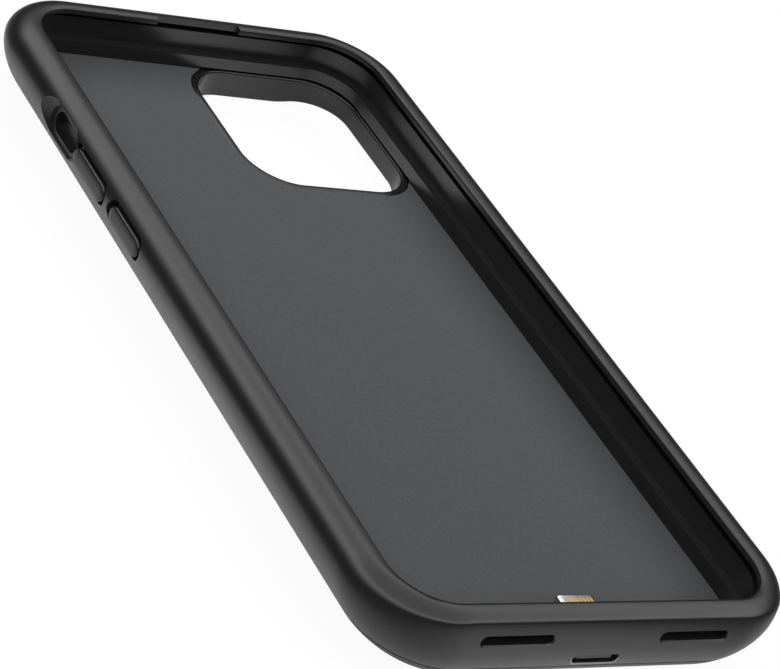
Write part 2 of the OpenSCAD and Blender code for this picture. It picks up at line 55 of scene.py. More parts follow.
import bmesh
import bpy
import numpy as np
from bpy.props import FloatProperty, FloatVectorProperty, PointerProperty
from mathutils import Matrix, Vector

bl_info = {
    "name": "Battery phone case",
    "version": (1, 0, 0),
    "blender": (4, 5, 0),
    "location": "View3D > Sidebar > Phone case",
    "description": "Makes the finished pieces of a battery phone case around its packed model",
    "category": "Add Mesh",
}

MM = 0.001


# ---- sizes ----

def box_mm(node):
    """Lowest corner, highest corner and middle of a CAD node, in millimetres."""
    low, high = (np.array(corner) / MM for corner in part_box(node))
    return low, high, (low + high) / 2


def length(name, description, default_mm):
    """A length property whose default is given in millimetres."""
    return FloatProperty(name=name, description=description, default=default_mm * MM,
                         min=0.0, unit="LENGTH", precision=5)


def millimetres(group):
    """Every length of a property group, in millimetres."""
    lengths = {p.identifier: getattr(group, p.identifier) / MM
               for p in group.bl_rna.properties if getattr(p, "unit", "") == "LENGTH"}
    return SimpleNamespace(**lengths)


class CASE_PG_frame(bpy.types.PropertyGroup):
    """Sizes of the soft frame and of the hard cover that carries on its outline."""
    corner: length("Corner", "Corner radius seen from the front", 14.0)
    shoulder: length("Shoulder", "Radius of the shoulder along the sides and the top", 4.0)
    foot_bow: length("Bottom bow", "Wide radius that leans the bottom end's wall inwards", 14.9)
    foot_edge: length("Bottom edge", "Tight radius along the bottom end's edge", 0.9)
    foot_slope: length("Bottom slope", "Wide radius from that edge to the rim's face", 4.6)
    side_round: length("Side rounding", "Radius of the long sides' lower arc", 16.0)
    end_round: length("End rounding", "Radius of both ends' lower arc", 9.6)
    wall_side: length("Side wall", "Wall beside the phone", 3.05)
    wall_top: length("Top wall", "Wall behind the phone's upper end", 1.75)
    wall_bottom: length("Bottom wall", "Wall behind the phone's lower end", 3.05)
    lip_side: length("Side lip", "From the outside to the lip's edge at the sides", 5.4)
    lip_top: length("Top lip", "From the outside to the lip's edge at the top", 4.98)
    lip_bottom: length("Bottom lip", "From the outside to the lip's edge at the bottom", 3.81)
    lip_corner: length("Lip corner", "Corner radius of the lip's opening", 8.75)
    lip_thick: length("Lip thickness", "Thickness of the lip over the glass", 1.15)
    crown: length("Crown", "How far the rim's face falls towards the lip's edge", 0.06)
    nose: length("Lip edge", "Radius of the lip's edge", 0.3)
    pocket_corner: length("Pocket corner", "Corner radius of the phone's pocket", 11.1)
    rim_step: length("Rim step", "Step that the tray's rim sits in", 1.35)
    flange: length("Flange", "Reach of the flange under the tray", 3.35)
    cover_wall: length("Cover wall", "Thickness of the hard back cover", 1.2)
    seam: length("Seam chamfer", "Chamfer on both sides of the seam", 0.14)


class CASE_PG_openings(bpy.types.PropertyGroup):
    """Sizes of the openings in the soft frame."""
    sound_width: length("Sound slot length", "Length of each sound slot", 12.6)
    sound_height: length("Sound slot height", "Height of each sound slot", 1.7)
    sound_place: length("Sound slot place", "Slot's middle from the centre line", 16.05)
    sound_drop: length("Sound slot drop", "Slot's middle below the lip's top", 3.8)
    mouth: length("Mouth chamfer", "Chamfer around the slots and the port", 0.22)
    port_wall: length("Port shell", "Thickness of the port's steel shell", 0.3)
    scoop_place: length("Scoop place", "Scoop's middle from the case's top end", 35.05)
    scoop_run: length("Scoop straight", "Half of the straight between the scoop's ends", 2.6)
    scoop_radius: length("Scoop radius", "Radius of the scoop's ends at the surface", 4.7)
    ledge: length("Scoop ledge", "Width of the ledge around the mute slot", 0.75)
    mute_run: length("Mute slot straight", "Half of the mute slot's straight", 2.5)
    mute_radius: length("Mute slot radius", "Radius of the mute slot's ends", 1.85)
    slot_wall: length("Slot wall", "Wall left beside the phone at the mute slot", 0.9)
    earpiece_width: length("Earpiece width", "Width of the recess in the top lip", 16.5)
    earpiece_depth: length("Earpiece depth", "Depth of the recess in the top lip", 1.05)
    groove: length("Groove", "Groove on the screen side of each edge button", 0.78)
    groove_back: length("Back groove", "Groove on the other side of each edge button", 0.36)
    key_gap: length("Key gap", "Room around each button's flange", 0.3)
    chin_width: length("Chin pocket width", "Width of the connector pocket", 18.2)
    chin_depth: length("Chin pocket depth", "Depth of the connector pocket", 1.6)
    chin_drop: length("Chin pocket drop", "Top of the connector pocket below the lip", 2.5)


class CASE_PG_details(bpy.types.PropertyGroup):
    """Sizes of the buttons, the camera surround, the plug and the lining."""
    key_flange: length("Key flange", "How much longer a key's flange is than its pad", 1.4)
    key_flange_thick: length("Flange thickness", "Thickness of a key's flange", 0.55)
    key_edge: length("Key edge", "Radius of a key pad's edge", 0.5)
    key_crown: length("Key crown", "Rise of a key pad towards its middle", 0.07)
    surround_wall: length("Surround wall", "Wall of the camera surround", 1.5)
    surround_corner: length("Surround corner", "Corner radius of the camera window", 8.5)
    surround_edge: length("Surround edge", "Radius of the surround's edges", 0.45)
    fit: length("Fit", "Room between pieces that are fixed together", 0.05)
    plug_tip: length("Plug tip", "Rounding of the plug's tip", 0.5)
    plug_relief: length("Contact relief", "How far the gold contacts stand proud", 0.02)
    status_flange: length("Status flange", "How much wider the status button's flange is", 1.8)
    status_dish: length("Status dish", "Depth of the dish in the status button", 0.12)
    lining_edge: length("Lining edge", "Rounding of the lining's edge", 0.12)


def tone(name, description, code):
    """A colour property from an sRGB hex value."""
    return FloatVectorProperty(name=name, description=description, subtype="COLOR", size=3,
                               min=0.0, max=1.0, default=linear(code))


def linear(code):
    """Linear red, green and blue from an sRGB hex value: the standard curve, channel by channel."""
    srgb = np.array([int(code[i:i + 2], 16) / 255 for i in (1, 3, 5)])
    return tuple(np.where(srgb <= 0.04045, srgb / 12.92, ((srgb + 0.055) / 1.055) ** 2.4))


class CASE_PG_colours(bpy.types.PropertyGroup):
    """Colours that a user would change."""
    frame_colour: tone("Frame", "Soft frame", "#1c1c1d")
    cover_colour: tone("Cover", "Hard back cover", "#1a1a1b")
    key_colour: tone("Keys", "Edge buttons", "#1e1e1f")
    lining_colour: tone("Lining", "Microfibre lining", "#303133")


class CASE_PG_stage(bpy.types.PropertyGroup):
    """Camera, floor and light."""
    azimuth: FloatProperty(name="Azimuth", description="Camera's direction round the case",
                           default=math.radians(-42.583), subtype="ANGLE")
    elevation: FloatProperty(name="Elevation", description="Camera's height above the horizon",
                             default=math.radians(29.182), subtype="ANGLE")
    roll: FloatProperty(name="Roll", description="Camera's turn about its own axis",
                        default=math.radians(27.168), subtype="ANGLE")
    distance: length("Distance", "From the camera to its target", 431.58)
    target: FloatVectorProperty(name="Target", description="Point that the camera looks at",
                                default=(-0.00397, -0.01186, 0.0135), subtype="TRANSLATION")
    lens: FloatProperty(name="Lens", description="Focal length on a 36 mm wide sensor",
                        default=131.307)
    floor_size: length("Floor", "Width of the floor", 8000.0)
    floor_glow: FloatProperty(name="Floor glow", description="Light that the floor gives by itself",
                              default=0.94)
    sky: FloatProperty(name="Sky", description="Brightness of the light overhead", default=1.0)


# ---- shapes ----

def perimeter(corner_steps, long_steps, short_steps):
    """Columns of a rounded rectangle, anticlockwise from the lower end of the right side.

    Each column has a share of the half width from -1 to 1, a share of the way from the bottom
    end to the top end, and the angle of its outward direction. On a straight the shares run
    and the angle stays; round a corner the angle runs and the shares stay.
    """
    stops = [(1, 0), (1, 1), (-1, 1), (-1, 0), (1, 0)]
    across, along, angle = [], [], []
    for side, steps in enumerate((long_steps, short_steps, long_steps, short_steps)):
        (x0, y0), (x1, y1) = stops[side], stops[side + 1]
        run = np.concatenate([np.arange(steps) / steps, np.ones(corner_steps)])
        turn = np.concatenate([np.zeros(steps), np.arange(corner_steps) / corner_steps])
        across.append(x0 + (x1 - x0) * run)
        along.append(y0 + (y1 - y0) * run)
        angle.append((side + turn) * math.pi / 2)
    return tuple(np.concatenate(part) for part in (across, along, angle))


def rings(columns, side, top, bottom, radius_top, radius_bottom, z_side, z_top, z_bottom):
    """Rows of rounded rectangles with half width `side` and ends at `top` and `-bottom`.

    A point is the corner's centre plus the radius in the column's direction. Its height runs
    from the side's to the end's with the square of the direction's sine.
    """
    across, along, angle = columns
    side, top, bottom, radius_top, radius_bottom, z_side, z_top, z_bottom = (
        np.asarray(row, float)[:, None]
        for row in np.broadcast_arrays(side, top, bottom, radius_top, radius_bottom,
                                       z_side, z_top, z_bottom))
    c, s = np.cos(angle), np.sin(angle)
    radius = radius_top * along + radius_bottom * (1 - along)
    x = across * (side - radius) + radius * c
    y = along * (top - radius) - (1 - along) * (bottom - radius) + radius * s
    z = z_side * c ** 2 + np.where(s > 0, z_top, z_bottom) * s ** 2
    return np.stack(np.broadcast_arrays(x, y, z), axis=-1)


def window_rings(columns, middle, half_w, half_l, corner, grow, z):
    """Rows of one rounded rectangle about `middle`, each larger all round by its `grow`."""
    grow, z = np.broadcast_arrays(np.asarray(grow, float), np.asarray(z, float))
    points = rings(columns, half_w + grow, half_l + grow, half_l + grow,
                   corner + grow, corner + grow, z, z, z)
    return points + np.array([middle[0], middle[1], 0.0])


def stadium_rings(run, radius, depth, steps=20):
    """Rows of stadiums in the plane of the last two axes, at `depth` along the first.

    A row is two half circles of its radius, whose centres lie `run` to either side.
    """
    run, radius, depth = (np.asarray(row, float)[:, None]
                          for row in np.broadcast_arrays(run, radius, depth))
    turn = np.linspace(-0.5, 0.5, steps + 1) * math.pi
    angle = np.concatenate([turn, turn + math.pi])
    way = np.repeat([1.0, -1.0], steps + 1)
    u = radius * np.cos(angle) + run * way
    v = radius * np.sin(angle)
    return np.stack(np.broadcast_arrays(depth, u, v), axis=-1)


def circle_rings(middle, radius, z, steps=72):
    """Rows of circles about `middle`, each with its own radius and height."""
    radius, z = (np.asarray(row, float)[:, None] for row in np.broadcast_arrays(radius, z))
    angle = np.arange(steps) / steps * 2 * math.pi
    x, y = middle[0] + radius * np.cos(angle), middle[1] + radius * np.sin(angle)
    return np.stack(np.broadcast_arrays(x, y, z), axis=-1)


def arc(radius, start, end, steps):
    """Across and up from an arc's centre, from angle `start` to `end` in degrees from across."""
    angle = np.radians(np.linspace(start, end, steps + 1))
    return radius * np.cos(angle), radius * np.sin(angle)


def solid(name, points, loop=False):
    """A closed mesh object from rows of points: rows joined by quads, columns all round.

    The last row meets the first where `loop` is set; otherwise both end rows are filled.
    """
    rows, cols = points.shape[:2]
    i = np.arange(rows if loop else rows - 1)[:, None]
    j = np.arange(cols)[None]
    below, above = i * cols, (i + 1) % rows * cols
    following = (j + 1) % cols
    quads = np.stack(np.broadcast_arrays(below + j, below + following,
                                         above + following, above + j), axis=-1)
    faces = quads.reshape(-1, 4).tolist()
    if not loop:
        faces += [list(range(cols))[::-1], list(range((rows - 1) * cols, rows * cols))]
    mesh = bpy.data.meshes.new(name)
    mesh.from_pydata((points.reshape(-1, 3) * MM).tolist(), [], faces)
    tidy(mesh)
    made = bpy.data.objects.new(name, mesh)
    bpy.context.scene.collection.objects.link(made)
    return made


def tidy(mesh):
    """Merges doubled points, drops faces with no area and turns all faces outwards."""
    work = bmesh.new()
    work.from_mesh(mesh)
    bmesh.ops.remove_doubles(work, verts=work.verts, dist=0.0008 * MM)
    bmesh.ops.dissolve_degenerate(work, edges=work.edges, dist=0.0005 * MM)
    bmesh.ops.recalc_face_normals(work, faces=work.faces)
    work.to_mesh(mesh)
    work.free()


def cut(piece, cutters, operation="DIFFERENCE"):
    """Takes the cutters out of the piece for good, or keeps what they share, and removes them."""
    for cutter in cutters:
        before = len(piece.data.vertices)
        step = piece.modifiers.new("cut", "BOOLEAN")
        step.operation, step.solver, step.object = operation, "MANIFOLD", cutter
        result = bpy.data.meshes.new_from_object(
            piece.evaluated_get(bpy.context.evaluated_depsgraph_get()))
        piece.modifiers.remove(step)
        if len(result.vertices) in (0, before):
            raise RuntimeError(f"cutter {cutter.name} didn't cut {piece.name}")
        old = piece.data
        piece.data = result
        bpy.data.meshes.remove(old)
        bpy.data.meshes.remove(cutter.data)
    tidy(piece.data)
    return piece


def place(piece, finish, body, slot, *replaced, sharp=32.0):
    """Gives a piece its shading, finish and body, and hides what it stands for; its record slot is
    not used.
    """
    piece.data.shade_smooth()
    piece.data.set_sharp_from_angle(angle=math.radians(sharp))
    piece.data.materials.clear()
    piece.data.materials.append(finish)
    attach(piece, body)
    if replaced:
        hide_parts(*replaced)
    return piece


# ---- the case's outer form ----

# Share of the side's and the end's inset by which a lower row's corner radius shrinks
LOW_SHARE = 0.35
# Turns from upright at which the shoulder passes to its second and its third radius
BENDS = (math.radians(14), math.radians(60))
# Reach, up and down in mm, of the ease between the lower arc and the shoulder
BLEND = 1.6
# Rows in the lower arc, the shoulder, the rim's face and the lip's edge
SKIN_ROWS = (22, 16, 6, 4)
# Heights, in mm, of the rows that divide the pocket's wall
WALL_ROWS = (12.0, 10.0, 8.0)
# Width in mm of the bevels where the lip, the glass and the pocket's wall meet
POCKET_BEVEL = 0.1
# Gap in mm between the frame and the cover at the seam
SEAM_GAP = 0.05
# How far, in mm, a level face runs in from its edge before one flat face fills the rest
LEVEL_REACH = 3.0


def lower_inset(z, low, shoulder_foot, wall=0.0):
    """How far the lower arc lies inside the outline at height z.

    The arc of radius `low` stands on the resting surface and meets the outline at
    `shoulder_foot`, or at its own top if that is lower. `wall` moves it inwards.
    """
    reach = math.sqrt(low ** 2 - (low - min(shoulder_foot, low)) ** 2)
    drop = low - np.minimum(z, low)
    return reach - np.sqrt(np.maximum((low - wall) ** 2 - drop ** 2, 0.0))


def lower_insets(size, height, z, wall=0.0):
    """The lower arcs' insets at height z: at the sides, at the top end and at the bottom end."""
    arcs = ((size.side_round, size.shoulder), (size.end_round, size.shoulder),
            (size.end_round, size.foot_edge))
    return [lower_inset(z, low, height - shoulder, wall) for low, shoulder in arcs]


def outer_profile(size, height, low, radii, foot, lip):
    """Inset and height from the seam at `foot` up to the lip's edge.

    In turn: the lower arc, the shoulder, the rim's face, which falls as the square of the way
    across, and the lip's rounded edge. The shoulder turns from upright to level with three
    radii, one up to each of the angles in BENDS. A parabola BLEND to each side eases the
    corner between the lower arc and the shoulder.
    """
    foot_steps, shoulder_steps, rim_steps, nose_steps = SKIN_ROWS
    bow, edge, slope = radii
    first, second = BENDS

    def shoulder_at(turn):
        near, far = np.minimum(turn, first), np.maximum(turn, second)
        mid = np.clip(turn, first, second)
        inset = (bow * (1 - np.cos(near)) + edge * (math.cos(first) - np.cos(mid))
                 + slope * (math.cos(second) - np.cos(far)))
        rise = (bow * np.sin(near) + edge * (np.sin(mid) - math.sin(first))
                + slope * (np.sin(far) - math.sin(second)))
        return inset, rise

    shoulder, rise = shoulder_at(math.pi / 2)
    start = height - rise
    drop = low - min(start, low)
    jump = drop / math.sqrt(low ** 2 - drop ** 2)

    def ease(at):
        return jump * np.maximum(BLEND - np.abs(at - start), 0) ** 2 / (4 * BLEND)

    z = np.linspace(foot + size.seam, start, foot_steps + 1)
    inset = lower_inset(z, low, start) + ease(z)
    round_inset, round_z = shoulder_at(np.linspace(0, math.pi / 2, shoulder_steps + 1)[1:])
    round_z = start + round_z
    round_inset = round_inset + ease(round_z)
    way = np.linspace(0, 1, rim_steps + 1)[1:]
    rim_inset = shoulder + way * (lip - size.nose - shoulder)
    rim_z = height - size.crown * way ** 2
    nose = np.radians(np.linspace(90, 0, nose_steps + 1))[1:]
    nose_inset = lip - size.nose * (1 - np.cos(nose))
    nose_z = height - size.crown - size.nose * (1 - np.sin(nose))
    return (np.concatenate([inset, round_inset, rim_inset, nose_inset]),
            np.concatenate([z, round_z, rim_z, nose_z]))


def make_frame_shell(size, name):
    """The soft frame's ring: outer skin, lip, pocket wall, rim step and flange, one closed loop."""
    low, high, _ = box_mm("side_frame")
    height, foot = high[2], low[2]
    glass = height - size.lip_thick
    tray_low, tray_high, _ = box_mm("inner_tray")
    tray_top = tray_high[2]
    step_z = (tray_top + tray_low[2]) / 2
    even, sharp = (size.shoulder,) * 3, (size.foot_bow, size.foot_edge, size.foot_slope)
    side = outer_profile(size, height, size.side_round, even, foot, size.lip_side)
    top = outer_profile(size, height, size.end_round, even, foot, size.lip_top)
    bottom = outer_profile(size, height, size.end_round, sharp, foot, size.lip_bottom)
    lower = SKIN_ROWS[0] + 1
    rounded = lower + SKIN_ROWS[1]
    blend = np.clip((np.arange(len(side[0])) - rounded + 1) / SKIN_ROWS[2], 0, 1)
    radii = [outline_radius(size, side[0], end[0], lower) for end in (top, bottom)]
    radii = [radius + (size.lip_corner - radius) * blend for radius in radii]

    walls = [(size.lip_side, size.lip_top, size.lip_bottom, size.lip_corner),
             (size.wall_side, size.wall_top, size.wall_bottom, size.pocket_corner)]
    inner = []
    for z, row, grow in (
            (glass + POCKET_BEVEL, 0, 0), (glass, 0, -POCKET_BEVEL),
            (glass, 1, POCKET_BEVEL), (glass - POCKET_BEVEL, 1, 0),
            *((z, 1, 0) for z in WALL_ROWS), (tray_top, 1, 0), (tray_top, 1, size.rim_step),
            (step_z, 1, size.rim_step), (step_z, 1, size.flange), (foot, 1, size.flange)):
        *insets, corner = walls[row]
        inner.append([inset + grow for inset in insets] + [z, corner - grow])
    seam = [float(inset) + size.seam for inset in lower_insets(size, height, foot)]
    seam += [foot, size.corner - LOW_SHARE * (seam[0] + seam[1])]
    *rest, rest_z, rest_radius = np.array([*inner, seam]).T
    half_w, end_top, end_bottom = (
        edge - np.concatenate([part[0], more])
        for edge, part, more in zip((high[0], high[1], -low[1]), (side, top, bottom), rest))
    points = rings(
        perimeter(28, 190, 76), half_w, end_top, end_bottom,
        *(np.concatenate([radius, rest_radius]) for radius in radii),
        *(np.concatenate([part[1], rest_z]) for part in (side, top, bottom)))
    return solid(name, points, loop=True)


def outline_radius(size, side, end, lower):
    """Corner radius of each row: the outline's, less a share of the two insets.

    Above the lower arc the share is a half, which keeps the wall even round the corner.
    """
    share = np.where(np.arange(len(side)) < lower, LOW_SHARE, 0.5)
    return size.corner - share * (side + end)


def make_cover_shell(size, name):
    """The hard cover: a dish whose outer face carries on the frame's arcs down to a flat back."""
    low, high, _ = box_mm("side_frame")
    height, rim = high[2], low[2] - SEAM_GAP
    quarter = math.pi / 2
    z = (rim - size.seam) * (1 - np.sin(np.linspace(0, quarter, 23)))
    z_in = size.cover_wall + (rim - size.cover_wall) * np.sin(np.linspace(0, quarter, 13))
    insets = [np.concatenate([[outer[-1] + LEVEL_REACH], outer[::-1], [outer[0] + size.seam],
                              inner[::-1], [inner[0] + LEVEL_REACH]])
              for outer, inner in zip(lower_insets(size, height, z),
                                      lower_insets(size, height, z_in, size.cover_wall))]
    heights = np.concatenate([[0.0], z[::-1], [rim], z_in[::-1], [size.cover_wall]])
    radius = size.corner - LOW_SHARE * (insets[0] + insets[1])
    points = rings(perimeter(24, 96, 44), high[0] - insets[0], high[1] - insets[1],
                   -low[1] - insets[2], radius, radius, heights, heights, heights)
    return solid(name, points)


def make_body_form(size, name, inset):
    """The case's lower outer form as a full solid, made smaller all round by `inset`."""
    low, high, _ = box_mm("side_frame")
    start = high[2] - size.shoulder
    z = inset + (start - inset) * (1 - np.cos(np.linspace(0, math.pi / 2, 30)))
    side, end, _ = lower_insets(size, high[2], z, inset)
    radius = size.corner - LOW_SHARE * (side + end)
    points = rings(perimeter(24, 40, 20), high[0] - side, high[1] - end, -low[1] - end,
                   radius, radius, z, z, z)
    return solid(name, points)


# Order of axes that turns a shape drawn along X so that it runs along Y
ALONG_Y = [1, 0, 2]
# How far, in mm, a cutter starts outside the face that it cuts
PAST = 1.0
# Extra length, in mm, of an edge button's groove at each end
END_ROOM = 0.25
# An edge button's groove near the surface, in mm: depth under it, and growth at that depth
GROOVE_FLARE = ((0.3, 0.0), (0.05, 0.12), (-0.8, 1.0))
# How far, in mm, the room behind a key's flange reaches towards the phone
FLANGE_ROOM = 1.3
# How far, in mm, a strip's recess reaches past the strip into the phone's pocket
STRIP_REACH = 0.6


def slot_cutter(name, middle_x, middle_z, width, height, y_face, y_end, chamfer):
    """A stadium through an end wall, with a chamfered mouth at the outer face."""
    radius = height / 2
    depth = [y_face - PAST, y_face + chamfer, y_end]
    grow = np.array([PAST + chamfer, 0.0, 0.0])
    points = stadium_rings(width / 2 - radius, radius + grow, depth, 16)[..., ALONG_Y]
    return solid(name, points + np.array([middle_x, 0.0, middle_z]))


def side_form(name, run, radius, depth, middle, turn=1.0, steps=24):
    """A stack of stadiums through the left wall, or the right wall where `turn` is -1."""
    points = stadium_rings(run, radius, depth, steps)
    points[..., 0] *= turn
    return solid(name, points + np.array([0.0, middle[1], middle[2]]))


def block_cutter(name, corner_a, corner_b):
    """A plain block from one corner to the other, for cutting."""
    a, b = np.minimum(corner_a, corner_b), np.maximum(corner_a, corner_b)
    x, y = np.array([a[0], b[0], b[0], a[0]]), np.array([a[1], a[1], b[1], b[1]])
    points = np.stack([np.stack([x, y, np.full(4, z)], axis=-1) for z in (a[2], b[2])])
    return solid(name, points)


def window_cutter(name, details, grow, z):
    """A rounded block the size of the camera surround, with its own growth at each height."""
    low, high, middle = box_mm("camera_surround")
    half_w, half_l = (high[:2] - low[:2]) / 2
    return solid(name, window_rings(perimeter(14, 10, 10), middle, half_w, half_l,
                                    details.surround_corner + details.surround_wall, grow, z))


def key_cutters(holes, details, node, turn):
    """Groove and flange room of one edge button."""
    low, high, middle = box_mm(node)
    near = min(abs(low[0]), abs(high[0]))
    run, radius = key_stadium(details, low, high)
    wall = box_mm("side_frame")[1][0]
    room = near + details.key_flange_thick + 2 * details.fit
    flange = radius + details.key_flange / 2 + holes.key_gap
    depth, flare = np.array(GROOVE_FLARE).T
    grow = (holes.groove + holes.groove_back) / 2 + np.append(0.0, flare)
    shift = np.array([0.0, 0.0, (holes.groove - holes.groove_back) / 2])
    return [
        side_form("cut_groove", run + END_ROOM, radius + grow, np.append(-near, depth - wall),
                  middle + shift, turn),
        side_form("cut_flange", run, [flange, flange], [FLANGE_ROOM - near, -room], middle, turn),
    ]


def strip_cutter(details, node):
    """The recess of an elastic strip, open to the phone's pocket."""
    low, high, middle = box_mm(node)
    room = np.array([0.0, details.fit, details.fit])
    reach = np.array([details.fit, 0.0, 0.0]) * np.sign(middle[0])
    inwards = -np.sign(middle[0]) * STRIP_REACH
    near, far = (low, high) if middle[0] > 0 else (high, low)
    start = np.array([near[0] + inwards, low[1], low[2]]) - room
    end = np.array([far[0], high[1], high[2]]) + room + reach
    return block_cutter("cut_strip", start, end)


def key_stadium(details, low, high):
    """Half straight and end radius of a key's pad, from the box of its flange."""
    height = high[2] - low[2] - details.key_flange
    length_y = high[1] - low[1] - details.key_flange
    return (length_y - height) / 2, height / 2


# Half width in mm of the level middle of a key's pad
KEY_FLAT = 0.3
# Radius in mm of the small broken edges on the buttons' hidden parts
SOFT_EDGE = 0.1
# Share of the surround's wall that the flare of its lower mouth takes up
FLARE_SHARE = 0.55


def make_key(name, node, details, turn):
    """An edge button: flange, straight sides, rounded edge and a softly crowned pad."""
    low, high, middle = box_mm(node)
    run, radius = key_stadium(details, low, high)
    near, far = sorted((abs(low[0]), abs(high[0])))
    edge, flat, soft = details.key_edge, KEY_FLAT, SOFT_EDGE
    across, up = arc(edge, 0, 90, 7)
    top = far - details.key_crown
    inwards = np.linspace(0, radius - edge - flat, 7)[1:]
    crown = details.key_crown * (1 - (1 - inwards / inwards[-1]) ** 2)
    flange, thick = details.key_flange / 2, details.key_flange_thick
    grow = np.concatenate([[flange - soft, flange, flange, flange - soft, 0.0],
                           across - edge, -edge - inwards])
    depth = np.concatenate([[near, near + soft, near + thick - soft, near + thick, near + thick],
                            top - edge + up, top + crown])
    return side_form(name, run, radius + grow, -depth, middle, turn, 20)


def make_surround(name, details):
    """The camera surround: a rounded ring whose section has round edges and a flared mouth."""
    low, high, middle = box_mm("camera_surround")
    wall, edge = details.surround_wall, details.surround_edge
    half_w, half_l = (high[:2] - low[:2]) / 2 - wall
    across, up = arc(edge, 0, 90, 6)
    flare = wall * FLARE_SHARE
    grow = np.concatenate([wall - edge + across, (edge - across)[::-1],
                           [0.0, flare], wall - edge + across[:0:-1]])
    z = np.concatenate([high[2] - edge + up, (high[2] - edge + up)[::-1],
                        [low[2] + flare, low[2]], low[2] + edge - up[:0:-1]])
    points = window_rings(perimeter(20, 16, 14), middle, half_w, half_l,
                          details.surround_corner, grow, z)
    return solid(name, points, loop=True)


def make_lining(name, details):
    """The lining: a thin pad with a rounded upper edge, before its cut around the camera surround.
    """
    low, high, _ = box_mm("soft_lining")
    edge = details.lining_edge
    across, up = arc(edge, 0, 90, 4)
    inset = np.concatenate([[LEVEL_REACH, 0.0], edge - across, [LEVEL_REACH]])
    z = np.concatenate([[low[2], low[2]], high[2] - edge + up, [high[2]]])
    corner = bpy.context.scene.case_frame.pocket_corner / MM - details.fit
    points = rings(perimeter(20, 60, 30), high[0] - inset, high[1] - inset, -low[1] - inset,
                   corner - inset, corner - inset, z, z, z)
    return solid(name, points)


def make_plug(name, details):
    """The plug: a flat stadium bar with a rounded tip, thinner than the contacts stand."""
    low, high, middle = box_mm("phone_plug")
    radius = (high[2] - low[2]) / 2 - details.plug_relief
    run = (high[0] - low[0]) / 2 - (high[2] - low[2]) / 2
    tip = details.plug_tip
    across, up = arc(tip, 0, 90, 7)
    grow = np.concatenate([[0.0], across - tip])
    depth = np.concatenate([[low[1]], high[1] - tip + up])
    points = stadium_rings(run, radius + grow, depth, 16)[..., ALONG_Y]
    return solid(name, points + np.array([0.0, 0.0, middle[2]]))


# The status button in mm: radius of the cap's edge, of the dish's middle, of the nub and of the
# nub's end, and how far the flange's two faces lie below the nub's end
CAP_EDGE, DISH_MIDDLE, NUB, NUB_END = 0.35, 0.05, 1.5, 1.35
CAP_FLANGE = (0.7, 0.2)


def make_status_cap(name, details):
    """The status button: flange, nub and a cap with a round edge and a shallow dish."""
    low, high, middle = box_mm("status_button")
    outer = (high[0] - low[0]) / 2
    cap = outer - details.status_flange / 2
    edge, soft = CAP_EDGE, SOFT_EDGE
    across, up = arc(edge, 0, 90, 6)
    way = np.linspace(0, 1, 10)[1:]
    dish_r = (cap - edge) * (1 - way) + DISH_MIDDLE * way
    dish_z = low[2] + details.status_dish * np.sin(way * math.pi / 2)
    flange_low, flange_high = (high[2] - drop for drop in CAP_FLANGE)
    radius = np.concatenate([dish_r[::-1], (cap - edge + across)[::-1],
                             [cap, outer - soft, outer, outer, outer - soft, NUB, NUB,
                              NUB_END]])
    z = np.concatenate([dish_z[::-1], (low[2] + edge - up)[::-1],
                        [flange_low, flange_low, flange_low + soft, flange_high - soft,
                         flange_high, flange_high, high[2] - soft, high[2]]])
    return solid(name, circle_rings(middle, radius, z))


# ---- finishes ----

# A colour Mix node's two inputs and its output, by their places in the node
MIX_A, MIX_B, MIX_OUT = 6, 7, 2


def add(tree, kind, settings=None, inputs=None):
    """Adds one node with its settings, its input values and its links.

    An input that is given a node is linked to that node's first output.
    """
    made = tree.nodes.new("ShaderNode" + kind)
    for key, value in (settings or {}).items():
        setattr(made, key, value)
    for key, value in (inputs or {}).items():
        if isinstance(value, bpy.types.Node):
            value = value.outputs[0]
        if isinstance(value, bpy.types.NodeSocket):
            tree.links.new(value, made.inputs[key])
        else:
            made.inputs[key].default_value = value
    return made


def per_mm(size_mm):
    """Texture scale, per metre, of a pattern whose detail is `size_mm` across."""
    return 1.0 / (size_mm * MM)


def rgba(colour):
    """Four numbers from a hex value or from three linear numbers."""
    return (*(linear(colour) if isinstance(colour, str) else tuple(colour)), 1.0)


def surface(name, dark, light, rough, patch=9.0, grain=0.3, depth=0.004, stretch=(1, 1, 1),
            cells=False, shader=None):
    """A finish with drifting colour and gloss and a fine relief.

    Noise `patch` mm across mixes the two colours and moves the roughness between its two
    values. Noise or round cells `grain` mm across, drawn out by `stretch`, raise the surface
    by `depth` mm. `shader` sets the shader's own sockets.
    """
    finish = bpy.data.materials.new(name)
    finish.use_nodes = True
    tree = finish.node_tree
    tree.nodes.clear()
    place_at = add(tree, "TexCoord").outputs["Object"]
    drift = add(tree, "TexNoise", None,
                {"Vector": place_at, "Scale": per_mm(patch), "Detail": 3.0, "Roughness": 0.6})
    drawn = add(tree, "Mapping", None, {"Vector": place_at, "Scale": stretch})
    if cells:
        fine = add(tree, "TexVoronoi", {"feature": "SMOOTH_F1"},
                   {"Vector": drawn, "Scale": per_mm(grain), "Smoothness": 0.6})
    else:
        fine = add(tree, "TexNoise", None,
                   {"Vector": drawn, "Scale": per_mm(grain), "Detail": 2.0})
    relief = add(tree, "Bump", None,
                 {"Height": fine, "Strength": 1.0, "Distance": depth * MM})
    colour = add(tree, "Mix", {"data_type": "RGBA"},
                 {0: drift, MIX_A: rgba(dark), MIX_B: rgba(light)})
    gloss = add(tree, "MapRange", None,
                {"Value": drift, "From Min": 0.25, "From Max": 0.75,
                 "To Min": rough[0], "To Max": rough[1]})
    main = add(tree, "BsdfPrincipled", None,
               {"Base Color": colour.outputs[MIX_OUT], "Roughness": gloss,
                "Normal": relief, **(shader or {})})
    add(tree, "OutputMaterial", None, {"Surface": main})
    return finish


def shade(colour, share):
    """A colour made darker or lighter by a share."""
    return tuple(min(1.0, c * share) for c in colour)


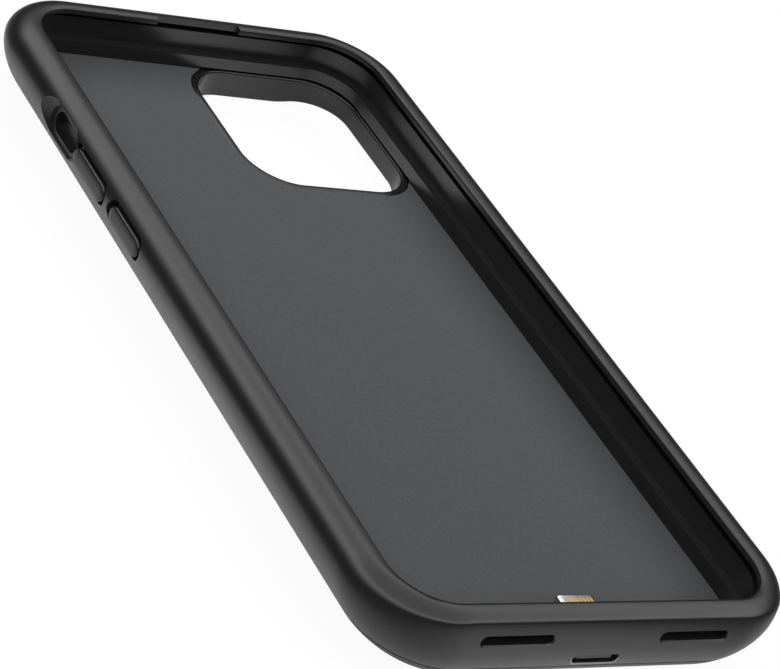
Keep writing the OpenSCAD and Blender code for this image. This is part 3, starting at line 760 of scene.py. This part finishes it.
def first(finish, kind):
    """The first node of a kind in a finish."""
    return next(n for n in finish.node_tree.nodes if n.bl_idname == "ShaderNode" + kind)


def overlay(finish, share, colour):
    """Lays a second colour over a finish's own, by the share that a socket or node gives."""
    into = first(finish, "BsdfPrincipled").inputs["Base Color"]
    mixed = add(finish.node_tree, "Mix", {"data_type": "RGBA"},
                {0: share, MIX_A: into.links[0].from_socket, MIX_B: rgba(colour)})
    finish.node_tree.links.new(mixed.outputs[MIX_OUT], into)
    return finish


def banded(finish, axis, low, high, colour):
    """Lays a second colour where the point's place along one axis is between two values, in mm."""
    tree = finish.node_tree
    place_at = first(finish, "TexCoord").outputs["Object"]
    along = add(tree, "SeparateXYZ", None, {0: place_at}).outputs[axis]
    past = add(tree, "Math", {"operation": "GREATER_THAN"}, {0: along, 1: low * MM})
    short = add(tree, "Math", {"operation": "LESS_THAN"}, {0: along, 1: high * MM})
    both = add(tree, "Math", {"operation": "MULTIPLY"}, {0: past, 1: short})
    return overlay(finish, both, colour)


def make_finishes(colours):
    """Every finish of the case, by the record's slot name."""
    metal = {"Metallic": 1.0}
    soft, hard = {"IOR": 1.5, "Specular IOR Level": 0.5}, {"IOR": 1.52}
    made = {}
    # Thermoplastic polyurethane with a sprayed soft-touch coat: an even, very dark grey whose
    # broad sheen has no sharp glints. The coat's grain is 0.1 mm, drawn at 0.3 mm to show.
    made["frame_tpu"] = surface("soft_touch_polyurethane", shade(colours.frame_colour, 0.86),
                                shade(colours.frame_colour, 1.12), (0.28, 0.32), patch=14.0,
                                grain=0.3, depth=0.0016, shader=soft)
    # Moulded polycarbonate with the same coat over a spark-eroded mould: a touch drier and
    # coarser than the frame.
    made["cover_plastic"] = surface("coated_polycarbonate", shade(colours.cover_colour, 0.86),
                                    shade(colours.cover_colour, 1.12), (0.36, 0.42), patch=16.0,
                                    grain=0.45, depth=0.005, shader=soft)
    # Moulded keys with the coat worn smooth by the finger: slightly glossier.
    made["button_plastic"] = surface("satin_moulded_keys", shade(colours.key_colour, 0.9),
                                     shade(colours.key_colour, 1.1), (0.26, 0.31), patch=5.0,
                                     grain=0.25, depth=0.0012, shader=soft)
    made["lining"] = microfibre("short_pile_microfibre", colours.lining_colour)
    # Polycarbonate blend from an eroded mould, as moulded: dull, with a fine even grain.
    made["tray_plastic"] = surface("eroded_polycarbonate_blend", "#161617", "#1d1d1e",
                                   (0.5, 0.6), grain=0.4, depth=0.006, shader=hard)
    # Polycarbonate from a polished mould: darker and tighter in its reflections.
    made["surround_plastic"] = surface("satin_polycarbonate", "#0f0f10", "#151516",
                                       (0.24, 0.3), grain=0.3, depth=0.001, shader=hard)
    made["collar_plastic"] = surface("moulded_nylon_collar", "#121213", "#19191a",
                                     (0.4, 0.5), patch=3.0, grain=0.2, depth=0.002, shader=hard)
    made["tongue_plastic"] = surface("glass_filled_nylon", "#3c3d3f", "#4a4b4d",
                                     (0.45, 0.55), patch=2.0, grain=0.15, depth=0.003, shader=hard)
    made["strip_rubber"] = surface("silicone_sheet", "#121213", "#181819",
                                   (0.55, 0.65), grain=0.5, depth=0.003, shader={"IOR": 1.43})
    made["status_plastic"] = surface("satin_moulded_status_cap", "#26272a", "#2c2d30",
                                     (0.3, 0.36), patch=3.0, grain=0.2, depth=0.001, shader=hard)
    # Nylon and aluminium foil laminate: a soft silver with shallow dimples.
    made["cell_foil"] = surface("laminated_aluminium_foil", "#a4a8b0", "#b9bdc4",
                                (0.3, 0.42), patch=18.0, grain=2.5, depth=0.03, cells=True,
                                shader=metal)
    # Closed-cell foam: matt and chalky, cells about 0.4 mm across.
    made["foam_tape"] = surface("closed_cell_foam", "#c9c8be", "#dcdbd2", (0.85, 0.95),
                                grain=0.4, depth=0.05, cells=True, shader={"IOR": 1.4})
    made["board_green"] = circuit_board("solder_mask_on_glass_epoxy")
    # Rolled nickel strip: warm grey with rolling lines along its length.
    made["nickel"] = surface("rolled_nickel", "#b1aca2", "#c4bfb4", (0.25, 0.35), patch=4.0,
                             grain=0.2, depth=0.002, stretch=(1, 0.08, 1), shader=metal)
    made["wire_insulation"] = banded(
        surface("silicone_sleeve", "#8e1f18", "#a32a20", (0.45, 0.55), patch=2.0, grain=0.3,
                depth=0.003, shader={"IOR": 1.43}), 0, -9.0, 0.0, "#1a1a1b")
    # Moulded epoxy with silica filler: charcoal black with a faint sparkle-free speckle.
    made["chip_black"] = surface("filled_epoxy_package", "#141516", "#222325", (0.5, 0.62),
                                 patch=0.6, grain=0.12, depth=0.003, shader=hard)
    # Sintered ceramic body: dry tan with darker firing clouds.
    made["capacitor_tan"] = surface("sintered_ceramic", "#8a683c", "#b08d5a", (0.4, 0.5),
                                    patch=0.8, grain=0.15, depth=0.004, shader={"IOR": 1.7})
    made["ferrite_grey"] = surface("pressed_iron_powder", "#3a3a3e", "#55555a", (0.5, 0.65),
                                   patch=0.5, grain=0.18, depth=0.01, cells=True,
                                   shader={"Metallic": 0.4})
    # Tin-plated sheet, stamped: bright but cloudy, with rolling lines across the lid.
    made["shield_steel"] = surface("tin_plated_sheet", "#b9bbbe", "#cfd1d3", (0.2, 0.32),
                                   patch=3.0, grain=0.25, depth=0.002, stretch=(0.07, 1, 1),
                                   shader=metal)
    made["flex_amber"] = flex_film("polyimide_film")
    # Drawn stainless steel, tumbled: fine satin without a direction.
    made["plug_steel"] = surface("tumbled_stainless", "#b4b6b8", "#c6c8ca", (0.2, 0.28),
                                 patch=2.0, grain=0.12, depth=0.0008, shader=metal)
    made["port_steel"] = surface("drawn_stainless_shell", "#85878a", "#97999c", (0.28, 0.38),
                                 patch=2.0, grain=0.15, depth=0.001, stretch=(1, 0.1, 1),
                                 shader=metal)
    made["gold"] = surface("gold_plating", "#c9a24b", "#dcb964", (0.18, 0.26), patch=0.8,
                           grain=0.1, depth=0.0006, shader=metal)
    made["switch_steel"] = surface("stamped_stainless", "#a9abad", "#c0c2c4", (0.25, 0.35),
                                   patch=1.5, grain=0.15, depth=0.0015, shader=metal)
    # Cast silicone over a phosphor: milky yellow.
    made["led_resin"] = surface("phosphor_resin", "#e6dfae", "#f2ecca", (0.2, 0.3), patch=0.6,
                                grain=0.2, depth=0.001,
                                shader={"Subsurface Weight": 0.4, "Subsurface Scale": 0.0005})
    # Clear polycarbonate with frosted ends: grey-white and lens-like in the dark cover.
    made["light_pipe_clear"] = surface("frosted_clear_polycarbonate", "#ccd3d8", "#dfe6ea",
                                       (0.22, 0.3), patch=2.0, grain=0.2, depth=0.002,
                                       shader={"Transmission Weight": 0.65, "IOR": 1.58})
    made["screw_steel"] = surface("machined_blackened_steel", "#6e7073", "#85878a", (0.3, 0.4),
                                  patch=1.0, grain=0.12, depth=0.002, stretch=(1, 0.2, 1),
                                  shader=metal)
    return made


def microfibre(name, colour):
    """Short split fibres brushed one way: dull and slightly clouded, with a soft pale sheen.

    Fibre ends are 0.05 mm, drawn as 0.35 mm tufts, so that the pile shows. Tufts drawn out
    along Y lie under clouds 11 mm across where the nap has been stroked.
    """
    finish = surface(name, shade(colour, 0.8), shade(colour, 1.25), (0.86, 0.96), patch=11.0,
                     grain=0.35, depth=0.05, stretch=(1.0, 0.45, 1.0),
                     shader={"Sheen Weight": 0.35, "Sheen Roughness": 0.45, "IOR": 1.45})
    fine = first(finish, "Bump").inputs["Height"].links[0].from_socket
    tufts = add(finish.node_tree, "MapRange", None,
                {"Value": fine, "From Min": 0.3, "From Max": 0.7, "To Min": 0.0, "To Max": 0.5})
    return overlay(finish, tufts, shade(colour, 1.7))


def circuit_board(name):
    """Green solder mask over copper: glossy, with paler tracks 0.4 mm wide that stand a little."""
    finish = surface(name, "#0d3b20", "#12502b", (0.22, 0.32), patch=5.0, grain=0.3,
                     depth=0.003, shader={"Coat Weight": 0.3, "IOR": 1.55})
    tracks = add(finish.node_tree, "TexBrick", {"offset": 0.35},
                 {"Vector": first(finish, "TexCoord").outputs["Object"], "Scale": per_mm(4.0),
                  "Mortar Size": 0.05, "Mortar Smooth": 0.1, "Brick Width": 1.3,
                  "Row Height": 0.4})
    return overlay(finish, tracks.outputs["Fac"], "#1d6b3c")


def flex_film(name):
    """Amber film over copper lines that run along it: lines 0.5 mm apart, seen through the film."""
    finish = surface(name, "#8f5a1d", "#a96c26", (0.18, 0.26), patch=4.0, grain=0.6,
                     depth=0.002, shader={"Coat Weight": 0.4, "IOR": 1.6})
    lines = add(finish.node_tree, "TexWave", {"wave_type": "BANDS", "bands_direction": "X"},
                {"Vector": first(finish, "TexCoord").outputs["Object"],
                 "Scale": per_mm(0.5) / 20 * math.pi})
    return overlay(finish, lines.outputs["Fac"], "#c98a3c")


# ---- operators ----

FINISHES = {}


class CaseStep:
    """What the case's operators share: where they stand and that they can be undone."""
    bl_options = {"REGISTER", "UNDO"}


class CASE_OT_finishes(CaseStep, bpy.types.Operator):
    """Make every finish and give it to the CAD nodes"""
    bl_idname = "phonecase.finishes"
    bl_label = "Finishes"

    def execute(self, context):
        FINISHES.clear()
        FINISHES.update(make_finishes(context.scene.case_colours))
        for part in frame["record"]["subparts"]:
            node = frame["nodes"][part["node"]]
            finish = FINISHES[part["material_slot"]]
            if not node.data.materials:
                node.data.materials.append(finish)
            for slot in node.material_slots:
                slot.material = finish
        return {"FINISHED"}


class CASE_OT_frame(CaseStep, bpy.types.Operator):
    """Make the soft frame with its lip and all its openings"""
    bl_idname = "phonecase.soft_frame"
    bl_label = "Soft frame"
    # How far, in mm, the surround's hole reaches above the tray's underside, and slots past a wall
    over_flange, through = 1.5, 0.6

    def execute(self, context):
        scene = context.scene
        size, holes = millimetres(scene.case_frame), millimetres(scene.case_openings)
        details = millimetres(scene.case_details)
        low, high, _ = box_mm("side_frame")
        shell = make_frame_shell(size, "soft_frame_shell")
        face, back = low[1], low[1] + size.wall_bottom + self.through
        slot_z = high[2] - holes.sound_drop
        cutters = [slot_cutter("cut_sound", side * holes.sound_place, slot_z, holes.sound_width,
                               holes.sound_height, face, back, holes.mouth) for side in (-1, 1)]
        cutters += self.port_cutters(size, holes, face)
        cutters += self.scoop_cutters(size, holes, high)
        for node, turn in (("volume_up_button", 1), ("volume_down_button", 1), ("side_button", -1)):
            cutters += key_cutters(holes, details, node, turn)
        cutters += [strip_cutter(details, node) for node in ("volume_strip", "side_button_strip")]
        cutters.append(window_cutter("cut_surround", details, details.fit,
                                     [0.0, box_mm("inner_tray")[0][2] + self.over_flange]))
        cutters.append(self.earpiece_cutter(size, holes, high))
        place(cut(shell, cutters), FINISHES["frame_tpu"], "case", "frame_tpu", "side_frame")
        return {"FINISHED"}

    def port_cutters(self, size, holes, face):
        """The charging port's mouth, the seat of its shell and the connector pocket."""
        low, high, middle = box_mm("charge_port_shell")
        width, height = (high - low)[[0, 2]]
        inner = face + size.wall_bottom
        mouth = slot_cutter("cut_port", middle[0], middle[2], width - 2 * holes.port_wall,
                            height - 2 * holes.port_wall, face, low[1] + 0.3, holes.mouth)
        seat = solid("cut_port_seat", stadium_rings(
            (width - height) / 2, height / 2 + SEAM_GAP, [low[1] - SEAM_GAP, inner - 0.4],
            16)[..., ALONG_Y] + np.array([0, 0, middle[2]]))
        half, top = holes.chin_width / 2, box_mm("side_frame")[1][2]
        pocket = block_cutter("cut_chin", (-half, inner - holes.chin_depth, 0.0),
                              (half, inner + size.flange + PAST, top - holes.chin_drop))
        return [mouth, seat, pocket]

    def scoop_cutters(self, size, holes, high):
        """The mute switch's funnel: a through slot, a ledge around it and a dished wall.

        The dished wall widens with the power 0.85 of the way from the ledge to the surface, and
        goes on at its last slope for a way past it.
        """
        wall, past, step, foot = high[0], 0.7, 0.1, 0.5
        inner = wall - size.wall_side + holes.slot_wall
        middle = (0.0, high[1] - holes.scoop_place, box_mm("phone_plug")[2][2])
        rim = holes.mute_radius + holes.ledge
        way = np.linspace(0, 1, 9)
        depth = inner + foot + (wall - inner - foot) * way
        radius = rim + step + (holes.scoop_radius - rim - step) * way ** 0.85
        slope = (radius[-1] - radius[-2]) / (depth[-1] - depth[-2])
        depth = np.concatenate([[inner], depth, [wall + past]])
        radius = np.concatenate([[rim], radius, [radius[-1] + slope * past]])
        return [side_form("cut_scoop", holes.scoop_run, radius, -depth, middle),
                side_form("cut_mute", holes.mute_run, holes.mute_radius,
                          [size.wall_side + 0.5 - wall, -inner - 0.2], middle)]

    def earpiece_cutter(self, size, holes, high):
        """The earpiece recess in the top lip, with rounded corners."""
        edge, corner = high[1] - size.lip_top, holes.earpiece_depth * 0.6
        z = high[2] + np.array([-size.lip_thick - 0.5, -0.3, 0.5])
        return solid("cut_earpiece", rings(
            perimeter(8, 6, 10), holes.earpiece_width / 2, edge + holes.earpiece_depth,
            2.0 - edge, corner, corner, z, z, z))


class CASE_OT_cover(CaseStep, bpy.types.Operator):
    """Make the hard back cover with its window and holes"""
    bl_idname = "phonecase.back_cover"
    bl_label = "Back cover"
    # In mm: the chamfer of the window, how far the cutters start under the cover, and the
    # distance from one status light to the next
    window_edge, under, pitch = 0.3, 0.5, 6.0

    def execute(self, context):
        size = millimetres(context.scene.case_frame)
        details = millimetres(context.scene.case_details)
        shell = make_cover_shell(size, "hard_cover_shell")
        cutters = [window_cutter("cut_window", details,
                                 details.fit + np.array([self.window_edge + self.under, 0, 0]),
                                 [-self.under, self.window_edge, 9.0])]
        low, high, button = box_mm("status_button")
        radius = (high[0] - low[0] - details.status_flange) / 2 + 0.3
        holes = [("cut_status", button, radius, 0.25, 72)]
        pipes = box_mm("light_pipe")[2]
        holes += [("cut_post", pipes + np.array([along * self.pitch, 0, 0]), 1.05, 0.1, 36)
                  for along in (-1.5, -0.5, 0.5, 1.5)]
        for name, spot, radius, edge, steps in holes:
            cutters.append(solid(name, circle_rings(
                spot, [radius + edge + self.under, radius, radius], [-self.under, edge, 2.0],
                steps)))
        place(cut(shell, cutters), FINISHES["cover_plastic"], "case", "cover_plastic", "back_cover")
        return {"FINISHED"}


class CASE_OT_inside(CaseStep, bpy.types.Operator):
    """Make the lining, the camera surround and the plug"""
    bl_idname = "phonecase.inside"
    bl_label = "Lining, surround and plug"

    def execute(self, context):
        details = millimetres(context.scene.case_details)
        lining = make_lining("microfibre_lining", details)
        window = window_cutter("cut_lining", details, details.fit, [0.0, 9.0])
        place(cut(lining, [window]), FINISHES["lining"], "case", "lining", "soft_lining")
        ring = make_surround("camera_surround_ring", details)
        body = make_body_form(millimetres(context.scene.case_frame), "cut_ring", details.fit)
        place(cut(ring, [body], "INTERSECT"), FINISHES["surround_plastic"], "case",
              "surround_plastic", "camera_surround")
        place(make_plug("phone_plug_blade", details), FINISHES["plug_steel"], "case",
              "plug_steel", "phone_plug")
        return {"FINISHED"}


class CASE_OT_buttons(CaseStep, bpy.types.Operator):
    """Make the three edge buttons and the status button"""
    bl_idname = "phonecase.buttons"
    bl_label = "Buttons"

    def execute(self, context):
        details = millimetres(context.scene.case_details)
        for name, node, body, turn in (("volume_up_key", "volume_up_button", "volume_up", 1),
                                       ("volume_down_key", "volume_down_button", "volume_down", 1),
                                       ("side_key_pad", "side_button", "side_key", -1)):
            place(make_key(name, node, details, turn), FINISHES["button_plastic"], body,
                  "button_plastic", node)
        place(make_status_cap("status_key_cap", details), FINISHES["status_plastic"],
              "status_key", "status_plastic", "status_button")
        return {"FINISHED"}


# Half width and half length, in mm, of the pool of light painted on the floor round the case
POOL = (84.0, 155.0)
# Whiteness painted into the floor's paper outside the pool and in its middle: a painted pool of
# light
POOL_PAINT_LEVELS = (0.12, 0.95)
# Share of the painted pool that the floor's paper gives off as its own glow, painted light so that
# the shade under the case isn't black
SPILL = 0.18
# Whiteness of the sheet that the camera sees, which takes almost no shadow
SHEET = (0.06, 0.06, 0.06, 1.0)
# Brightness of the sky at each sine of the height above the horizon
SKY = ((0.0, 0.01), (0.28, 0.01), (0.41, 0.05), (0.49, 0.24), (0.55, 0.85), (0.70, 1.4),
       (0.77, 0.5), (1.0, 0.45))
# Strength of the sky away from the corner between +X and +Y, and towards it
SKY_STRENGTH = (2.4, 1.3)


class CASE_OT_stage(CaseStep, bpy.types.Operator):
    """Make the floor, the light and the camera"""
    bl_idname = "phonecase.stage"
    bl_label = "Stage"

    def execute(self, context):
        stage = context.scene.case_stage
        self.make_floor(context, stage)
        self.make_light(context, stage)
        self.make_camera(context, stage)
        context.scene.view_settings.view_transform = "Standard"
        return {"FINISHED"}

    def make_floor(self, context, stage):
        """A plain pale floor, clear from below.

        The camera sees a sheet almost without shadow. Reflections see lit matt paper instead,
        with a pool of light painted round the case into its whiteness and its glow.
        """
        half = stage.floor_size / 2
        mesh = bpy.data.meshes.new("floor")
        mesh.from_pydata([(-half, -half, 0), (half, -half, 0), (half, half, 0), (-half, half, 0)],
                         [], [(0, 1, 2, 3)])
        floor = bpy.data.objects.new("floor", mesh)
        context.scene.collection.objects.link(floor)
        paint = bpy.data.materials.new("matt_white_paper")
        paint.use_nodes = True
        tree = paint.node_tree
        tree.nodes.clear()
        spot = add(tree, "Mapping", None,
                   {"Vector": add(tree, "TexCoord").outputs["Object"],
                    "Scale": (per_mm(POOL[0]), per_mm(POOL[1]), 1.0)})
        pool = add(tree, "TexGradient", {"gradient_type": "SPHERICAL"},
                   {"Vector": spot})
        # Painted pool of light: the paper's whiteness falls off from the middle outwards
        bright = add(tree, "MapRange", None,
                     {"Value": pool.outputs["Fac"], "From Min": 0.05, "From Max": 0.55,
                      "To Min": POOL_PAINT_LEVELS[0], "To Max": POOL_PAINT_LEVELS[1]})
        matt = add(tree, "BsdfDiffuse", None, {"Color": bright})
        # Painted glow: the paper gives off light in the same painted pool
        painted_pool_glow = add(tree, "Math", {"operation": "MULTIPLY"},
                    {0: bright, 1: SPILL})
        spill = add(tree, "Emission", None, {"Strength": painted_pool_glow})
        paper = add(tree, "AddShader", None, {0: matt, 1: spill})
        sheet = add(tree, "BsdfDiffuse", None, {"Color": SHEET})
        glow = add(tree, "Emission", None, {"Strength": stage.floor_glow})
        seen = add(tree, "AddShader", None, {0: sheet, 1: glow})
        ray = add(tree, "LightPath")
        both = add(tree, "MixShader", None,
                   {0: ray.outputs["Is Camera Ray"], 1: paper, 2: seen})
        clear = add(tree, "BsdfTransparent")
        side = add(tree, "NewGeometry")
        mixed = add(tree, "MixShader", None,
                    {0: side.outputs["Backfacing"], 1: both, 2: clear})
        add(tree, "OutputMaterial", None, {"Surface": mixed})
        mesh.materials.append(paint)

    def make_light(self, context, stage):
        """A soft sky: dark at the horizon, brightest halfway up and dimmer overhead.

        It is weaker towards the corner between +X and +Y, as beside a diffuser on the other side.
        """
        world = bpy.data.worlds.new("studio")
        world.use_nodes = True
        tree = world.node_tree
        tree.nodes.clear()
        way = add(tree, "TexCoord").outputs["Generated"]
        parts = add(tree, "SeparateXYZ", None, {0: way})
        ramp = add(tree, "ValToRGB", None, {0: parts.outputs[2]})
        while len(ramp.color_ramp.elements) < len(SKY):
            ramp.color_ramp.elements.new(0.5)
        for element, (spot, level) in zip(ramp.color_ramp.elements, SKY):
            element.position = spot
            element.color = (level, level, level, 1.0)
        across = add(tree, "VectorMath", {"operation": "DOT_PRODUCT"},
                     {0: way, 1: (math.sqrt(0.5), math.sqrt(0.5), 0.0)})
        level = add(tree, "MapRange", None,
                    {"Value": across.outputs["Value"], "From Min": 0.35, "From Max": 0.85,
                     "To Min": SKY_STRENGTH[0] * stage.sky,
                     "To Max": SKY_STRENGTH[1] * stage.sky})
        glow = add(tree, "Background", None,
                   {"Color": ramp, "Strength": level})
        add(tree, "OutputWorld", None, {"Surface": glow})
        context.scene.world = world

    def make_camera(self, context, stage):
        """The camera on a sphere round its target, rolled about the line of sight."""
        a, e, r = stage.azimuth, stage.elevation, stage.roll
        back = Vector((math.sin(a) * math.cos(e), -math.cos(a) * math.cos(e), math.sin(e)))
        level = Vector((math.cos(a), math.sin(a), 0.0))
        upright = back.cross(level)
        right = level * math.cos(r) + upright * math.sin(r)
        up = upright * math.cos(r) - level * math.sin(r)
        data = bpy.data.cameras.new("camera")
        data.sensor_width, data.lens = 36.0, stage.lens
        data.clip_start, data.clip_end = 0.01, 50.0
        camera = bpy.data.objects.new("camera", data)
        context.scene.collection.objects.link(camera)
        turn = Matrix((right, up, back)).transposed()
        camera.matrix_world = Matrix.LocRotScale(
            Vector(stage.target) + back * stage.distance, turn, None)
        context.scene.camera = camera


class CASE_PT_panel(bpy.types.Panel):
    """Lists the case's steps and its main sizes in the 3D view's sidebar"""
    bl_idname = "CASE_PT_panel"
    bl_label = "Phone case"
    bl_space_type = "VIEW_3D"
    bl_region_type = "UI"
    bl_category = "Phone case"

    def draw(self, context):
        for step in STEPS:
            self.layout.operator(step.bl_idname)
        for group in GROUPS:
            box = self.layout.box()
            settings = getattr(context.scene, group)
            for item in GROUPS[group].__annotations__:
                box.prop(settings, item)


STEPS = (CASE_OT_finishes, CASE_OT_frame, CASE_OT_cover, CASE_OT_inside, CASE_OT_buttons,
         CASE_OT_stage)
GROUPS = {"case_frame": CASE_PG_frame, "case_openings": CASE_PG_openings,
          "case_details": CASE_PG_details, "case_colours": CASE_PG_colours,
          "case_stage": CASE_PG_stage}


def register():
    for made in (*GROUPS.values(), *STEPS, CASE_PT_panel):
        bpy.utils.register_class(made)
    for name, group in GROUPS.items():
        setattr(bpy.types.Scene, name, PointerProperty(type=group))


def unregister():
    for name in GROUPS:
        delattr(bpy.types.Scene, name)
    for made in reversed((*GROUPS.values(), *STEPS, CASE_PT_panel)):
        bpy.utils.unregister_class(made)


def main():
    register()
    bpy.ops.phonecase.stage()
    bpy.ops.phonecase.finishes()
    bpy.ops.phonecase.soft_frame()
    bpy.ops.phonecase.back_cover()
    bpy.ops.phonecase.inside()
    bpy.ops.phonecase.buttons()
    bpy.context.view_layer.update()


if __name__ == "__main__":
    main()
